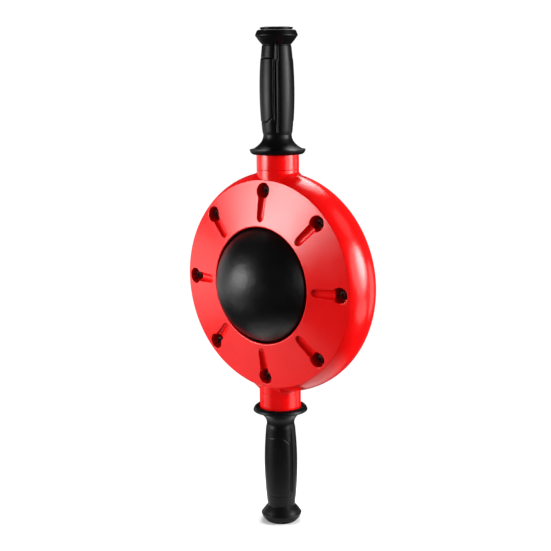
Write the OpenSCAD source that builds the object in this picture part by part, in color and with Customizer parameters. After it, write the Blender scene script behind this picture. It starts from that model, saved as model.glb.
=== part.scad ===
// Rolling-ball core trainer: a captive ball between two housing shells, with a handle at each end.
// The handles lie along Z, the housing's disc axis lies along Y and its front faces -Y.
// The origin is the centre of the ball. All lengths are in millimetres and angles in degrees.

/* [Ball] */
// Diameter of the rolling ball
ball_d = 129; // [126:0.5:130]
// Thickness of the ball's rubber skin
skin_t = 4.2; // [3:0.1:5]
// Thickness of the hard shell under the skin
hard_shell_t = 6; // [4:0.5:8]
// Gap between the ball's layers
layer_gap = 0.3; // [0.2:0.05:0.5]

/* [Housing] */
// Diameter of the housing at its parting line
housing_d = 228; // [226:0.5:232]
// Diameter of the crease between the conical face and the side band
crease_d = 212.8; // [211:0.2:214]
// Height of that crease above the parting plane
crease_h = 21.8; // [21.7:0.1:23]
// Diameter of the opening that the ball stands out of
opening_d = 118.6; // [117:0.2:119]
// Height of the opening's lip above the parting plane
lip_h = 30.7; // [30:0.1:31.5]
// Wall thickness of the housing
wall_t = 3; // [2.5:0.1:3.2]
// Rounding of the opening's lip
lip_round = 1; // [0.6:0.1:1.2]
// Gap between the ball and the inside of the lip
guard_gap = 1.8; // [1.2:0.1:2]

/* [Bolt wells and slots] */
// Number of bolts, wells and slots
bolt_count = 8; // [4:4:8]
// Diameter of the bolt circle
bolt_circle_d = 191.6; // [190:0.2:192]
// Diameter of a well
well_d = 15.5; // [14:0.1:16]
// Height of a well's floor above the parting plane
well_floor_h = 14; // [13.5:0.1:15]
// Width of a slot
slot_w = 9.7; // [9:0.1:10]
// Depth of a slot at its middle
slot_depth = 5.6; // [5:0.1:5.8]
// Distance from the disc axis to a slot's inner end
slot_inner_r = 65.3; // [65:0.1:68]

/* [Fasteners] */
// Diameter of a housing bolt
bolt_d = 5; // [4:1:5]
// Diameter of a bolt's head
head_d = 9.5; // [9:0.1:10]
// Height of a bolt's head
head_h = 4; // [3:0.1:4.5]
// Diameter of a washer
washer_d = 11; // [10:0.5:13]
// Thickness of a washer
washer_t = 1; // [0.8:0.1:1.5]
// Width of a nut across its flats
nut_af = 8; // [8:0.1:9]
// Height of a nut
nut_h = 4; // [3:0.1:4.5]

/* [Support bearings] */
// Number of support balls in each bearing ring
support_count = 12; // [8:1:16]
// Diameter of a support ball
support_d = 10; // [9:0.5:10]
// Angle of the support balls from the disc axis
support_angle = 78.5; // [78:0.1:80]
// Running gap between a support ball and the rolling ball
support_gap = 0.3; // [0.2:0.05:0.4]
// Height of the bearing ring's outer face above the parting plane
ring_top_h = 20; // [19.5:0.1:20.2]
// Height of the bearing ring's inner face above the parting plane
ring_low_h = 6; // [4:0.5:7]
// Outer diameter of the bearing ring
ring_d = 152.8; // [152:0.2:153]

/* [Necks and handle tubes] */
// Diameter of the necks and collars
neck_d = 43; // [42:0.1:43.2]
// Distance from the origin to the joint between neck and collar
neck_end_z = 116; // [115:0.5:118]
// Largest diameter of the flare at a neck's root
flare_root_d = 55; // [50:0.5:56]
// Outer diameter of a handle tube
tube_d = 22; // [21:0.5:22]
// Wall thickness of a handle tube
tube_wall = 2; // [1.5:0.1:2.5]
// Distance from the origin to a handle tube's inner end
tube_in_z = 86; // [85:0.5:88]
// Distance from the origin to a handle tube's outer end
tube_out_z = 251; // [249:0.5:252]

/* [Grips] */
// Distance from the origin to a grip's end face
grip_end_z = 257; // [256:0.5:260]
// Distance from the origin to the seat of the collar in the flange
flange_seat_z = 134; // [133:0.5:135]
// Diameter of the hand-guard flange
flange_d = 56.6; // [55:0.2:60]
// Distance from the origin to the hand side of the flange
flange_top_z = 136; // [135.5:0.1:137]
// Distance from the origin to the end of the concave flare behind the flange
flare_end_z = 150; // [148:0.5:152]
// Diameter of the throat behind the flange
throat_d = 28.8; // [28:0.2:30]
// Largest diameter of the palm swell
palm_d = 34.4; // [33:0.2:36]
// Distance from the origin to the middle of the palm swell
palm_z = 194; // [190:1:198]
// Radius of the palm swell's long curve
palm_curve_r = 405; // [380:5:450]
// Diameter of the end cap bead
cap_d = 42.5; // [40:0.5:44]
// Diameter of the rim on the end face
cap_end_d = 33.6; // [32:0.2:35]

/* [Hidden] */
$fn = 96;

ball_r = ball_d / 2;
hard_shell_r = ball_r - skin_t - layer_gap;
core_r = hard_shell_r - hard_shell_t - layer_gap;

housing_r = housing_d / 2;
crease_r = crease_d / 2;
opening_r = opening_d / 2;
band_drop = housing_r - crease_r;
band_r = (crease_h * crease_h + band_drop * band_drop) / (2 * band_drop);
band_centre_r = housing_r - band_r;
face_angle = atan((lip_h - crease_h) / (crease_r - opening_r));
seam_chamfer = 0.35;
// Height of blanks and cutters that run out past the outer surface
past_face = 30;
// Overrun of a cutter where it leaves the metal or plastic
overrun = 1;

well_r = well_d / 2;
bolt_circle_r = bolt_circle_d / 2;
well_wall = 2.5;
well_root = 3;
boss_r = 7.5;
bolt_hole_r = bolt_d / 2 + 0.25;
slot_r = slot_w / 2;
slot_start_r = slot_inner_r + slot_r;
slot_backing = 2.3;
slot_length = bolt_circle_r - slot_start_r;
slot_rise = 12;

support_r = support_d / 2;
support_centre = ball_r + support_gap + support_r;
cup_r = support_r + 0.1;
ring_bore_r = ball_r + 3;
ring_r = ring_d / 2;
seat_r = ring_r + 0.1;
seat_wall = 3;
guard_r = ball_r + guard_gap;

neck_r = neck_d / 2;
neck_root_z = 104;
flare_low_z = 105.5;
flare_high_z = 112.6;
neck_chamfer = 0.5;
cradle_r = 14.5;
cradle_in_z = 84;
neck_block = [120, 300, crease_h - 0.2];
tube_r = tube_d / 2;
tube_bore_r = tube_r - tube_wall;
tube_seat_r = tube_r + 0.05;
insert_length = 20;

rib_t = 2;
rib_end_r = 104;
rib_low_h = 2;
tongue_t = 2;
tongue_reach = 2.5;
tongue_gap = 0.1;

// Height of the conical face at a distance r from the disc axis
function face_h(r) = lip_h - tan(face_angle) * (r - opening_r);

// Points along an arc
function arc(cx, cy, r, from, to, steps) =
    [for (i = [0:steps]) let (a = from + (to - from) * i / steps) [cx + r * cos(a), cy + r * sin(a)]];

// Turns the disc axis from +Z to -Y and stands the handles along Z
module as_front() {
    rotate([90, 0, 0]) children();
}

module as_rear() {
    mirror([0, 1, 0]) as_front() children();
}

module as_lower() {
    mirror([0, 0, 1]) children();
}

// Places a copy at each bolt, with X pointing away from the disc axis
module at_bolts() {
    for (i = [0:bolt_count - 1])
        rotate([0, 0, 90 + i * 360 / bolt_count]) translate([bolt_circle_r, 0, 0]) children();
}

// Points a cylinder made along +Z away from the disc centre, along both handles
module at_necks() {
    for (turn = [0, 180])
        rotate([0, 0, turn]) rotate([-90, 0, 0]) children();
}

// ---- Housing shells, drawn with the disc axis along +Z ----

lip_centre_h = lip_h - tan(face_angle) * lip_round * (1 + sin(face_angle)) - lip_round * cos(face_angle);
guard_start = acos((lip_centre_h - 0.3) / guard_r);
guard_end = acos(ring_top_h / guard_r);
inner_band_angle = asin((crease_h - wall_t) / (band_r - wall_t));
seam_angle = asin(seam_chamfer / band_r);
crease_angle = asin(crease_h / band_r);

outer_band = arc(band_centre_r, 0, band_r, seam_angle, crease_angle, 12);
lip_arc = arc(opening_r + lip_round, lip_centre_h, lip_round, 90 - face_angle, 180, 5);
guard_arc = [for (i = [0:6]) let (a = guard_start + (guard_end - guard_start) * i / 6)
    [guard_r * sin(a), guard_r * cos(a)]];
inner_band = arc(band_centre_r, 0, band_r - wall_t, inner_band_angle, 0, 12);

// The wall in section, from the parting line over the face to the bearing seat and back
module wall_section() {
    polygon(concat(
        [[housing_r - seam_chamfer, 0]],
        outer_band,
        lip_arc,
        guard_arc,
        [[seat_r, ring_top_h], [seat_r, 0], [seat_r + seat_wall, 0]],
        [[seat_r + seat_wall, face_h(seat_r + seat_wall) - wall_t]],
        inner_band
    ));
}

// Everything between the bearing seat and the outer surface
module envelope() {
    rotate_extrude($fn = 180)
        polygon(concat(
            [[seat_r + 1, 0], [housing_r - seam_chamfer, 0]],
            outer_band,
            [[seat_r + 1, face_h(seat_r + 1)]]
        ));
}

module slot_bar(r, length) {
    rotate([0, 90 + face_angle, 0]) cylinder(r = r, h = length, $fn = 48);
}

module at_slot_start() {
    for (i = [0:bolt_count - 1])
        rotate([0, 0, 90 + i * 360 / bolt_count])
            translate([slot_start_r, 0, face_h(slot_start_r) + slot_r - slot_depth]) children();
}

// A slot has a round bottom and inner end, and straight sides
module slot_cutter() {
    slot_bar(slot_r, slot_length);
    sphere(r = slot_r, $fn = 48);
    rotate([0, face_angle, 0]) {
        translate([0, -slot_r, 0]) cube([slot_length, slot_w, slot_rise]);
        cylinder(r = slot_r, h = slot_rise, $fn = 48);
    }
}

module rib() {
    translate([seat_r + 1, -rib_t / 2, rib_low_h]) cube([rib_end_r - seat_r - 1, rib_t, past_face]);
}

module inner_structure() {
    intersection() {
        envelope();
        union() {
            at_bolts()
                translate([0, 0, well_floor_h - well_root]) cylinder(r = well_r + well_wall, h = past_face);
            at_bolts() cylinder(r = boss_r, h = well_floor_h);
            at_slot_start() slot_bar(slot_r + slot_backing, slot_length);
            for (i = [0:bolt_count - 1])
                rotate([0, 0, 90 + (i + 0.5) * 360 / bolt_count]) rib();
            at_necks()
                translate([0, 0, cradle_in_z]) cylinder(r = cradle_r, h = neck_root_z - cradle_in_z + 2);
        }
    }
}

module neck_halves() {
    intersection() {
        at_necks() rotate_extrude() polygon([
            [0, neck_root_z],
            [flare_root_d / 2, neck_root_z],
            [flare_root_d / 2, flare_low_z],
            [neck_r, flare_high_z],
            [neck_r, neck_end_z - neck_chamfer],
            [neck_r - neck_chamfer, neck_end_z],
            [0, neck_end_z],
        ]);
        translate([-neck_block[0] / 2, -neck_block[1] / 2, 0]) cube(neck_block);
    }
}

module shell_cuts() {
    at_bolts() translate([0, 0, well_floor_h]) cylinder(r = well_r, h = past_face);
    at_bolts() translate([0, 0, -overrun]) cylinder(r = bolt_hole_r, h = past_face, $fn = 48);
    at_slot_start() slot_cutter();
    at_necks() translate([0, 0, cradle_in_z - overrun]) cylinder(r = tube_seat_r, h = neck_end_z);
}

// The tongue that centres the front shell in the rear shell
module tongue() {
    tongue_out_r = housing_r - wall_t - tongue_gap;
    difference() {
        rotate_extrude($fn = 180) polygon([
            [tongue_out_r - tongue_t, -tongue_reach],
            [tongue_out_r, -tongue_reach],
            [tongue_out_r, 0.2],
            [tongue_out_r + 1, 0.5],
            [tongue_out_r + 1, 3],
            [tongue_out_r - tongue_t, 4],
        ]);
        at_necks() cylinder(r = flare_root_d / 2 + 1, h = housing_r);
    }
}

module half_shell() {
    difference() {
        union() {
            rotate_extrude($fn = 180) wall_section();
            inner_structure();
            neck_halves();
        }
        shell_cuts();
    }
}

module front_shell() {
    color("red") as_front() {
        half_shell();
        tongue();
    }
}

module rear_shell() {
    color("red") as_rear() half_shell();
}

// ---- Fasteners ----

module pan_head_bolt() {
    drive_w = 1.1;
    drive_l = 5;
    drive_depth = 2;
    thread_end = 1.5;
    seat_h = well_floor_h + washer_t;
    tail_h = seat_h + nut_h + thread_end;
    difference() {
        union() {
            translate([0, 0, -tail_h]) cylinder(d = bolt_d, h = tail_h + seat_h, $fn = 48);
            translate([0, 0, seat_h]) rotate_extrude($fn = 64) polygon([
                [0, 0],
                [head_d / 2, 0],
                [head_d / 2, head_h * 0.45],
                [head_d * 0.45, head_h * 0.75],
                [head_d * 0.33, head_h * 0.95],
                [head_d * 0.2, head_h],
                [0, head_h],
            ]);
        }
        for (turn = [20, 110])
            rotate([0, 0, turn])
                translate([-drive_l / 2, -drive_w / 2, seat_h + head_h - drive_depth])
                    cube([drive_l, drive_w, drive_depth + overrun]);
    }
}

module housing_bolts() {
    color("dimgray") as_front() at_bolts() pan_head_bolt();
}

module washer() {
    difference() {
        cylinder(d = washer_d, h = washer_t, $fn = 64);
        translate([0, 0, -overrun]) cylinder(r = bolt_hole_r, h = washer_t + 2 * overrun, $fn = 48);
    }
}

module housing_washers() {
    color("silver") as_front() at_bolts() {
        translate([0, 0, well_floor_h]) washer();
        translate([0, 0, -well_floor_h - washer_t]) washer();
    }
}

module housing_nuts() {
    color("silver") as_front() at_bolts() translate([0, 0, -well_floor_h - washer_t - nut_h])
        difference() {
            cylinder(r = nut_af / sqrt(3), h = nut_h, $fn = 6);
            translate([0, 0, -overrun]) cylinder(d = bolt_d + 0.1, h = nut_h + 2 * overrun, $fn = 48);
        }
}

// ---- Support bearings ----

ring_bore = [for (i = [0:6]) let (h = ring_top_h + (ring_low_h - ring_top_h) * i / 6)
    [sqrt(ring_bore_r * ring_bore_r - h * h), h]];

module at_supports() {
    for (i = [0:support_count - 1])
        rotate([0, support_angle, (i + 0.5) * 360 / support_count])
            translate([0, 0, support_centre]) children();
}

module bearing_ring() {
    difference() {
        rotate_extrude() polygon(concat(ring_bore, [[ring_r, ring_low_h], [ring_r, ring_top_h]]));
        at_supports() sphere(r = cup_r, $fn = 48);
    }
}

module front_bearing_ring() {
    color("ivory") as_front() bearing_ring();
}

module rear_bearing_ring() {
    color("ivory") as_rear() bearing_ring();
}

module front_support_balls() {
    color("lightgray") as_front() at_supports() sphere(r = support_r, $fn = 48);
}

module rear_support_balls() {
    color("lightgray") as_rear() at_supports() sphere(r = support_r, $fn = 48);
}

// ---- Rolling ball ----

module ball_core() {
    color("dimgray") sphere(r = core_r);
}

module half_hard_shell() {
    intersection() {
        difference() {
            sphere(r = hard_shell_r);
            sphere(r = hard_shell_r - hard_shell_t);
        }
        translate([-ball_r, -2 * ball_r, -ball_r]) cube([2 * ball_r, 2 * ball_r, 2 * ball_r]);
    }
}

module ball_hard_shell_front() {
    color("gray") half_hard_shell();
}

module ball_hard_shell_rear() {
    color("gray") mirror([0, 1, 0]) half_hard_shell();
}

module ball_skin() {
    color([0.08, 0.08, 0.09]) difference() {
        sphere(r = ball_r);
        sphere(r = ball_r - skin_t);
    }
}

// ---- Handles, drawn along +Z ----

module handle_tube() {
    difference() {
        translate([0, 0, tube_in_z]) cylinder(r = tube_r, h = tube_out_z - tube_in_z);
        translate([0, 0, tube_in_z - overrun])
            cylinder(r = tube_bore_r, h = tube_out_z - tube_in_z + 2 * overrun);
        translate([0, 0, bolt_circle_r]) rotate([90, 0, 0])
            cylinder(r = bolt_hole_r, h = 3 * tube_r, center = true, $fn = 48);
    }
}

module upper_handle_tube() {
    color("silver") handle_tube();
}

module lower_handle_tube() {
    color("silver") as_lower() handle_tube();
}

module tube_insert() {
    insert_r = tube_bore_r - 0.05;
    difference() {
        translate([0, 0, bolt_circle_r - insert_length / 2 + 1]) cylinder(r = insert_r, h = insert_length);
        translate([0, 0, bolt_circle_r]) rotate([90, 0, 0])
            cylinder(r = bolt_hole_r, h = 3 * tube_r, center = true, $fn = 48);
    }
}

module upper_tube_insert() {
    color("gray") tube_insert();
}

module lower_tube_insert() {
    color("gray") as_lower() tube_insert();
}

module collar() {
    rotate_extrude() polygon([
        [tube_seat_r, neck_end_z],
        [neck_r - neck_chamfer, neck_end_z],
        [neck_r, neck_end_z + neck_chamfer],
        [neck_r, flange_seat_z],
        [tube_seat_r, flange_seat_z],
    ]);
}

module upper_collar() {
    color("red") collar();
}

module lower_collar() {
    color("red") as_lower() collar();
}

rim_r = flange_d / 2;
rim_low_z = flange_top_z - 5;
throat_r = throat_d / 2;
dish_r = neck_r + 1.7;
palm_start_z = 153;
cap_root_z = 239.5;
cap_bead_z = 248.7;
cap_r = cap_d / 2;
cap_end_r = cap_end_d / 2;
plug_seat_r = 12;

// Radius of the palm swell at height z
function palm_r(z) =
    palm_d / 2 - palm_curve_r + sqrt(palm_curve_r * palm_curve_r - (z - palm_z) * (z - palm_z));

// Points along a curve from a to c that heads for b
function bend(a, b, c, steps) =
    [for (i = [0:steps]) let (t = i / steps) (1 - t) * (1 - t) * a + 2 * t * (1 - t) * b + t * t * c];

// The flange's dish around the collar, its slanting rim and the flare down to the throat
dish_edge = bend(
    [dish_r + 0.3, rim_low_z + 0.2],
    [dish_r + 0.8, rim_low_z - 0.1],
    [dish_r + 1.6, rim_low_z + 0.1],
    3
);
rim_slant = bend(
    [dish_r + 2.2, rim_low_z + 0.3],
    [rim_r - 0.8, rim_low_z + 1.4],
    [rim_r, rim_low_z + 4.2],
    5
);
grip_flange = concat(
    [[tube_r, flange_seat_z], [dish_r, flange_seat_z], [dish_r, rim_low_z + 0.9]],
    dish_edge,
    rim_slant,
    [[rim_r, flange_top_z - 0.5], [rim_r - 0.5, flange_top_z]]
);
grip_flare = bend(
    [rim_r - 2.5, flange_top_z + 0.1],
    [throat_r + 0.2, flange_top_z + 6],
    [throat_r, flare_end_z],
    10
);
grip_palm = [for (i = [0:12]) let (z = palm_start_z + (cap_root_z - palm_start_z) * i / 12) [palm_r(z), z]];
grip_cap = concat(
    arc(cap_r - 1.5, cap_bead_z, 1.5, -45, 20, 4),
    [[cap_r - 1.4, grip_end_z - 4.2], [cap_r - 2.6, grip_end_z - 2.9]],
    [[cap_end_r - 0.7, grip_end_z - 2.7], [cap_end_r - 0.7, grip_end_z - 2.2]],
    [[cap_end_r, grip_end_z - 1.8], [cap_end_r, grip_end_z - 0.7], [cap_end_r - 0.6, grip_end_z]],
    [[plug_seat_r + 0.6, grip_end_z], [plug_seat_r, grip_end_z - 0.6]],
    [[plug_seat_r, tube_out_z], [tube_r, tube_out_z]]
);

module grip() {
    rotate_extrude() polygon(concat(grip_flange, grip_flare, grip_palm, grip_cap));
}

module upper_grip() {
    color([0.1, 0.1, 0.11]) grip();
}

module lower_grip() {
    color([0.1, 0.1, 0.11]) as_lower() grip();
}

module end_plug() {
    plug_r = plug_seat_r - 0.1;
    shank_r = tube_bore_r - 0.05;
    shank_end_z = tube_out_z - 14;
    rotate_extrude() polygon([
        [0, shank_end_z],
        [shank_r - 0.8, shank_end_z],
        [shank_r, shank_end_z + 2],
        [shank_r, tube_out_z],
        [plug_r, tube_out_z],
        [plug_r, tube_out_z + 3],
        [plug_r - 1, tube_out_z + 4],
        [plug_r * 0.5, tube_out_z + 4.4],
        [0, tube_out_z + 4.5],
    ]);
}

module upper_end_plug() {
    color([0.15, 0.15, 0.15]) end_plug();
}

module lower_end_plug() {
    color([0.15, 0.15, 0.15]) as_lower() end_plug();
}

front_shell();
rear_shell();
housing_bolts();
housing_washers();
housing_nuts();
front_bearing_ring();
rear_bearing_ring();
front_support_balls();
rear_support_balls();
ball_core();
ball_hard_shell_front();
ball_hard_shell_rear();
ball_skin();
upper_handle_tube();
lower_handle_tube();
upper_tube_insert();
lower_tube_insert();
upper_collar();
lower_collar();
upper_grip();
lower_grip();
upper_end_plug();
lower_end_plug();
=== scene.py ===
"""Looks of the rolling-ball core trainer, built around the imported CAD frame.

Pieces are drawn in millimetres and turned into metres as they become meshes. A shell is drawn with
the disc axis along its own third coordinate, called the height, and the handles along its second.
"""

import math

import bmesh
import bpy
import numpy as np
from mathutils import Matrix, Vector


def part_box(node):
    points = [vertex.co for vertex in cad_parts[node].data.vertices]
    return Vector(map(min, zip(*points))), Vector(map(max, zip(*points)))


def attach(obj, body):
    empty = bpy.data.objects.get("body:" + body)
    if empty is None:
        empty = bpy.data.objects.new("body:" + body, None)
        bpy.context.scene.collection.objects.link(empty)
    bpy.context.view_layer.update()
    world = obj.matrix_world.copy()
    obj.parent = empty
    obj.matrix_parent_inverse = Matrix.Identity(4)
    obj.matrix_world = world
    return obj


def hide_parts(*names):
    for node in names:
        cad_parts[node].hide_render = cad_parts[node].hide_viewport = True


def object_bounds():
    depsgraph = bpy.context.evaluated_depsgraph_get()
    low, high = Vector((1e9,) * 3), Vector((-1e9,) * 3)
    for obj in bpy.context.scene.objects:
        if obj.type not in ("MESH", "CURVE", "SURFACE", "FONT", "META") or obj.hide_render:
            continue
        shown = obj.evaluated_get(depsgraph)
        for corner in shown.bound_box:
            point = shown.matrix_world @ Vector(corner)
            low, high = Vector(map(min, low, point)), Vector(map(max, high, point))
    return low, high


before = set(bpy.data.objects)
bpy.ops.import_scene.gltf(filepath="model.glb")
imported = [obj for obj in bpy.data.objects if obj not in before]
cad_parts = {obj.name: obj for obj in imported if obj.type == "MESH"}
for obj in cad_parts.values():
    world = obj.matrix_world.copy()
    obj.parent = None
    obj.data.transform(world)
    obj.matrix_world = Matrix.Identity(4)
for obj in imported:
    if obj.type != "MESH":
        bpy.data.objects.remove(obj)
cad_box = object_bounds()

MM = 0.001


def size_mm(node, axis):
    """How far a CAD node reaches from the origin along an axis, in millimetres."""
    low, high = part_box(node)
    return max(-low[axis], high[axis]) / MM


# ---------------------------------------------------------------- sizes, in millimetres

# from the CAD frame
BALL_R = size_mm("ball_skin", 2)
HOUSING_R = size_mm("front_shell", 0)
NECK_R = size_mm("upper_collar", 0)
NECK_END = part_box("upper_collar")[0].z / MM
FLANGE_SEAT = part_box("upper_collar")[1].z / MM
FLANGE_R = size_mm("upper_grip", 0)
GRIP_END = size_mm("upper_grip", 2)
TUBE_END = size_mm("upper_handle_tube", 2)
TUBE_R = size_mm("upper_handle_tube", 0)

# the shell's wall and the ball's place in it
LIP_H = 30.7
LIP_ROUND = 1.4
LIP_THICK = 1.6
CREASE_R = 106.4
CREASE_H = 21.8
CREASE_ROUND = 0.8
PARTING_CHAMFER = 0.4
PARTING_DEG = 0.6
OPENING_R = 59.3
WALL = 3.0
BALL_TRIM = 0.03
BALL_GAP = 1.8
GUARD_R = BALL_R + BALL_GAP
RING_TOP = size_mm("front_bearing_ring", 1)
SEAT_R = size_mm("front_bearing_ring", 0) + 0.1
SEAT_WALL = 3.0
BAND_DROP = HOUSING_R - CREASE_R
BAND_R = (CREASE_H**2 + BAND_DROP**2) / (2 * BAND_DROP)
BAND_CENTRE = HOUSING_R - BAND_R
FACE_SLOPE = (LIP_H - CREASE_H) / (CREASE_R - OPENING_R)

# bolts, wells and slots
BOLTS = 8
BOLT_CIRCLE = 95.8
BOLT_R = 2.5
BOLT_HOLE_R = 2.75
WELL_R = 7.75
WELL_FLOOR = 14.0
WELL_WALL = 2.5
WELL_BOTTOM = 3.0
WELL_WALL_DEPTH = 1.4
BOSS_R = 7.5
SLOT_R = 4.85
SLOT_DEPTH = 5.6
SLOT_INNER = 65.3
SLOT_START = SLOT_INNER + SLOT_R
SLOT_NARROWING = 0.2
SLOT_RISE = 0.5
SLOT_BACKING = 2.3
SLOT_BACKING_DEPTH = 1.3
PAST_FACE = 12.0
EDGE_ROUND = 0.8

# necks, ribs and tongue
CRADLE_IN = 84.0
CRADLE_R = 14.5
CRADLE_OUT = 101.0
BORE_R = TUBE_R + 0.05
RIB_END = 104.0
RIB_THICK = 2.0
RIB_LOW = 2.0
RIB_DROP = 2.5
TONGUE_ARC = 148.0
TONGUE_LEAN = 0.8
FLARE_FOOT_R = 28.0
FLARE_TOP = 112.6
FLARE_SLOPE = 1.1
FLARE_BURIED = 3.5


def face_h(r):
    """Height of the conical face at a distance r from the disc axis."""
    return LIP_H - FACE_SLOPE * (r - OPENING_R)


# ---------------------------------------------------------------- mesh helpers


def arc(cx, cy, r, start, end, steps):
    """Points along an arc, with angles in degrees."""
    angles = [math.radians(start + (end - start) * i / steps) for i in range(steps + 1)]
    return [(cx + r * math.cos(a), cy + r * math.sin(a)) for a in angles]


def bend(a, b, c, steps):
    """Points along a curve from a to c that heads for b."""
    out = []
    for i in range(steps + 1):
        t = i / steps
        near, mid, far = (1 - t) ** 2, 2 * t * (1 - t), t * t
        out.append(tuple(near * p + mid * q + far * r for p, q, r in zip(a, b, c)))
    return out


def rounded(points, radii, steps):
    """A closed outline with the corners of a given radius turned into arcs."""
    out = []
    count = len(points)
    for i, corner in enumerate(points):
        radius = radii.get(i, 0)
        if not radius:
            out.append(corner)
            continue
        p = Vector(corner)
        a = (Vector(points[i - 1]) - p).normalized()
        b = (Vector(points[(i + 1) % count]) - p).normalized()
        half = a.angle(b) / 2
        centre = p + (a + b).normalized() * (radius / math.sin(half))
        start = p + a * (radius / math.tan(half)) - centre
        end = p + b * (radius / math.tan(half)) - centre
        turn = start.angle_signed(end)
        base = math.atan2(start.y, start.x)
        for s in range(steps + 1):
            t = base - turn * s / steps
            out.append((centre.x + radius * math.cos(t), centre.y + radius * math.sin(t)))
    return out


def add_grid(bm, rows, closed_rows=True, closed_columns=True):
    """Adds a grid of points, given row by row, and joins it with quads."""
    verts = [[bm.verts.new(p) for p in row] for row in rows]
    last_row = len(rows) if closed_rows else len(rows) - 1
    width = len(rows[0])
    last_column = width if closed_columns else width - 1
    for i in range(last_row):
        a, b = verts[i], verts[(i + 1) % len(rows)]
        for j in range(last_column):
            k = (j + 1) % width
            bm.faces.new((a[j], a[k], b[k], b[j]))
    return verts


def cap(bm, loop):
    bm.faces.new(loop)


def tidy_mesh(bm, merge=1e-4):
    """Merges doubled points and points every face outwards."""
    bmesh.ops.remove_doubles(bm, verts=bm.verts, dist=merge)
    bmesh.ops.dissolve_degenerate(bm, edges=bm.edges, dist=merge)
    bmesh.ops.recalc_face_normals(bm, faces=bm.faces)


def revolve(bm, outline, segments, axis="height"):
    """Turns a closed outline of (radius, height) points round the height or the handle axis."""
    rows = []
    for i in range(segments):
        a = 2 * math.pi * i / segments
        c, s = math.cos(a), math.sin(a)
        if axis == "height":
            rows.append([(r * c, r * s, h) for r, h in outline])
        else:
            rows.append([(r * c, h, r * s) for r, h in outline])
    add_grid(bm, rows)


def absorb(whole, bm):
    """Adds what bm holds to whole, and frees bm."""
    part = bpy.data.meshes.new("part")
    bm.to_mesh(part)
    bm.free()
    whole.from_mesh(part)
    bpy.data.meshes.remove(part)


def to_object(name, bm):
    """Turns bm into an object in the scene, and frees it."""
    mesh = bpy.data.meshes.new(name)
    bm.to_mesh(mesh)
    bm.free()
    piece = bpy.data.objects.new(name, mesh)
    bpy.context.scene.collection.objects.link(piece)
    return piece


def boolean(target, tool, operation):
    """Joins or cuts target with tool for good, and removes tool."""
    modifier = target.modifiers.new(operation, "BOOLEAN")
    modifier.operation = operation
    modifier.solver = "EXACT"
    modifier.object = tool
    bpy.context.view_layer.update()
    evaluated = target.evaluated_get(bpy.context.evaluated_depsgraph_get())
    result = bpy.data.meshes.new_from_object(evaluated)
    target.modifiers.clear()
    old = target.data
    target.data = result
    bpy.data.meshes.remove(old)
    tool_mesh = tool.data
    bpy.data.objects.remove(tool)
    bpy.data.meshes.remove(tool_mesh)


def smooth(piece, sharp_deg):
    """Smooth shading that keeps edges sharper than an angle, weighted by face area."""
    for polygon in piece.data.polygons:
        polygon.use_smooth = True
    piece.data.set_sharp_from_angle(angle=math.radians(sharp_deg))
    modifier = piece.modifiers.new("weighted_normals", "WEIGHTED_NORMAL")
    modifier.keep_sharp = True
    modifier.weight = 50


def finish_piece(piece, material, body, node, sharp_deg=40):
    """Gives a piece its material, shading and body, and hides the CAD node that it stands for."""
    piece.data.materials.clear()
    piece.data.materials.append(material)
    smooth(piece, sharp_deg)
    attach(piece, body)
    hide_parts(node)


# ---------------------------------------------------------------- materials


def new_material(name):
    """A material with its node tree, its links and its Principled shader."""
    material = bpy.data.materials.new(name)
    material.use_nodes = True
    nodes = material.node_tree.nodes
    return material, nodes, material.node_tree.links, nodes["Principled BSDF"]


def add_noise(nodes, links, coords, scale, detail=3.0):
    noise = nodes.new("ShaderNodeTexNoise")
    noise.inputs["Scale"].default_value = scale
    noise.inputs["Detail"].default_value = detail
    links.new(coords.outputs["Object"], noise.inputs["Vector"])
    return noise.outputs["Fac"]


def add_range(nodes, links, value, low, high, to_low, to_high):
    """Maps a value from one range to another and holds it at the ends."""
    node = nodes.new("ShaderNodeMapRange")
    node.inputs["From Min"].default_value = low
    node.inputs["From Max"].default_value = high
    node.inputs["To Min"].default_value = to_low
    node.inputs["To Max"].default_value = to_high
    links.new(value, node.inputs["Value"])
    return node.outputs["Result"]


MIX_COLOUR_A = 6
MIX_COLOUR_B = 7
MIX_COLOUR_OUT = 2


def add_mix(nodes, links, factor, a, b):
    """Mixes two colours, each given as a tuple or as a socket."""
    node = nodes.new("ShaderNodeMix")
    node.data_type = "RGBA"
    links.new(factor, node.inputs["Factor"])
    for index, colour in ((MIX_COLOUR_A, a), (MIX_COLOUR_B, b)):
        socket = node.inputs[index]
        if isinstance(colour, tuple):
            socket.default_value = (*colour, 1)
        else:
            links.new(colour, socket)
    return node.outputs[MIX_COLOUR_OUT]


NOISE_LOW = 0.3
NOISE_HIGH = 0.7
DUST_BLUR = 0.14


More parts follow.
